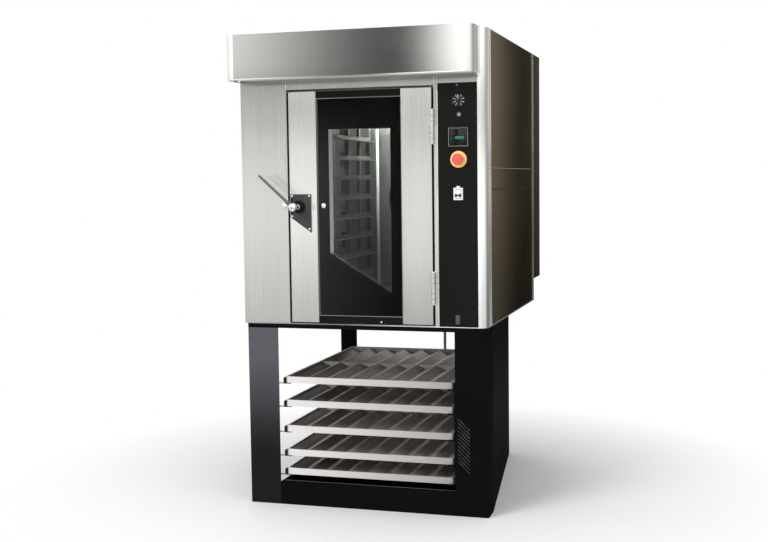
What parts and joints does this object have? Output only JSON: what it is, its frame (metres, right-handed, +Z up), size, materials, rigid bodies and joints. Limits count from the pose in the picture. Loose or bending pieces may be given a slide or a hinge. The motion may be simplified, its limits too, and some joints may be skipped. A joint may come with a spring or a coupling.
{
  "type": "rotating rack oven",
  "caption": "Compact rotating rack oven with a windowed swing door, lever latch and front hood, on a steel stand with slide-out fluted baking trays.",
  "frame": {"origin": "middle of the footprint of the whole object, on the floor", "axes": "+X to the right seen from the front, -Y out of the door, +Z up"},
  "size_m": [0.951, 1.299, 1.8],
  "materials": {
    "stand_paint": "black powder coat",
    "tray_metal": "baked aluminium, bright at the rim",
    "front_steel": "satin brushed stainless steel",
    "side_steel": "dark bronze brushed stainless steel",
    "liner_steel": "bright stainless steel",
    "rack_steel": "plain stainless steel",
    "bright_steel": "polished steel",
    "black_panel": "smooth black enamel",
    "clear_glass": "clear toughened glass",
    "plate_grey": "grey coated steel",
    "mineral_wool": "mineral wool",
    "seal": "black silicone",
    "motor_paint": "grey paint",
    "heater_metal": "heat tinted steel",
    "black_plastic": "matt black",
    "white_plastic": "white",
    "stop_yellow": "yellow",
    "stop_red": "red"
  },
  "bodies": {
    "root": {"stand_front_left_post": "stand_paint", "stand_rear_left_post": "stand_paint", "stand_rear_right_post": "stand_paint", "stand_right_side": "stand_paint", "stand_top_frame": "stand_paint", "stand_base": "stand_paint", "tray_runners_left": "stand_paint", "tray_runners_right": "stand_paint", "front_panel": "front_steel", "control_panel": "black_panel", "corner_trim": "front_steel", "side_panel_left": "side_steel", "side_panel_right": "side_steel", "roof_panel": "side_steel", "underside_and_back": "side_steel", "rear_casing": "side_steel", "hood": "front_steel", "chamber_front": "liner_steel", "chamber_liner": "liner_steel", "insulation_jacket": "mineral_wool", "air_wall": "liner_steel", "door_gasket": "seal", "gear_motor": "motor_paint", "fan_motor": "motor_paint", "heater_element": "heater_metal", "steam_maker": "heater_metal", "flue_collar": "liner_steel", "drain_pipe": "bright_steel", "hinge_top_frame": "bright_steel", "hinge_bottom_frame": "bright_steel", "temperature_controller": "black_plastic", "stop_ring": "stop_yellow", "switch_frame": "white_plastic"},
    "door": {"door_skin": "black_panel", "door_left_strip": "front_steel", "door_right_strip": "front_steel", "door_lining": "liner_steel", "inner_glass": "clear_glass", "handle_plate": "plate_grey", "hinge_top_door": "bright_steel", "hinge_bottom_door": "bright_steel"},
    "glass": {"outer_glass": "clear_glass", "glass_mask": "black_panel", "glass_knob": "bright_steel"},
    "handle": {"handle_spindle": "bright_steel", "handle_lever": "bright_steel"},
    "rack": {"rack_ladder_left": "rack_steel", "rack_ladder_right": "rack_steel", "rack_bottom_frame": "rack_steel", "rack_hanger": "rack_steel"},
    "fan": {"fan_wheel": "liner_steel"},
    "damper": {"flue_damper": "liner_steel"},
    "stop": {"stop_button": "stop_red"},
    "dial": {"dial_knob": "black_plastic"},
    "rocker": {"switch_rocker": "white_plastic"},
    "tray_1": {"stand_tray_1": "tray_metal"},
    "tray_2": {"stand_tray_2": "tray_metal"},
    "tray_3": {"stand_tray_3": "tray_metal"},
    "tray_4": {"stand_tray_4": "tray_metal"},
    "tray_5": {"stand_tray_5": "tray_metal"}
  },
  "joints": [
    {"name": "door_hinge", "type": "hinge", "parent": "root", "child": "door", "pos_m": [0.278, -0.5405, 1.1], "axis": [0, 0, 1], "range_deg": [0, 110]},
    {"name": "glass_hinge", "type": "hinge", "parent": "door", "child": "glass", "pos_m": [0.1592, -0.5355, 1.1], "axis": [0, 0, 1], "range_deg": [0, 90]},
    {"name": "handle_turn", "type": "hinge", "parent": "door", "child": "handle", "pos_m": [-0.2375, -0.6, 1.135], "axis": [0, -1, 0], "range_deg": [0, 90]},
    {"name": "rack_turn", "type": "hinge", "parent": "root", "child": "rack", "pos_m": [0.0055, -0.0515, 1.1], "axis": [0, 0, 1], "continuous": true},
    {"name": "fan_spin", "type": "hinge", "parent": "root", "child": "fan", "pos_m": [0.0055, 0.4, 1.1453], "axis": [0, 1, 0], "continuous": true},
    {"name": "damper_turn", "type": "hinge", "parent": "root", "child": "damper", "pos_m": [0.2755, 0.2685, 1.7], "axis": [1, 0, 0], "range_deg": [0, 90]},
    {"name": "stop_press", "type": "slide", "parent": "root", "child": "stop", "axis": [0, 1, 0], "range_m": [0, 0.004], "stiffness_N_per_m": 600},
    {"name": "dial_turn", "type": "hinge", "parent": "root", "child": "dial", "pos_m": [0.3755, -0.54, 1.5103], "axis": [0, -1, 0], "range_deg": [0, 270]},
    {"name": "rocker_tilt", "type": "hinge", "parent": "root", "child": "rocker", "pos_m": [0.3715, -0.5388, 1.1783], "axis": [1, 0, 0], "range_deg": [-7, 7]},
    {"name": "tray_1_slide", "type": "slide", "parent": "root", "child": "tray_1", "axis": [0, -1, 0], "range_m": [0, 0.4]},
    {"name": "tray_2_slide", "type": "slide", "parent": "root", "child": "tray_2", "axis": [0, -1, 0], "range_m": [0, 0.4]},
    {"name": "tray_3_slide", "type": "slide", "parent": "root", "child": "tray_3", "axis": [0, -1, 0], "range_m": [0, 0.4]},
    {"name": "tray_4_slide", "type": "slide", "parent": "root", "child": "tray_4", "axis": [0, -1, 0], "range_m": [0, 0.4]},
    {"name": "tray_5_slide", "type": "slide", "parent": "root", "child": "tray_5", "axis": [0, -1, 0], "range_m": [0, 0.4]}
  ]
}
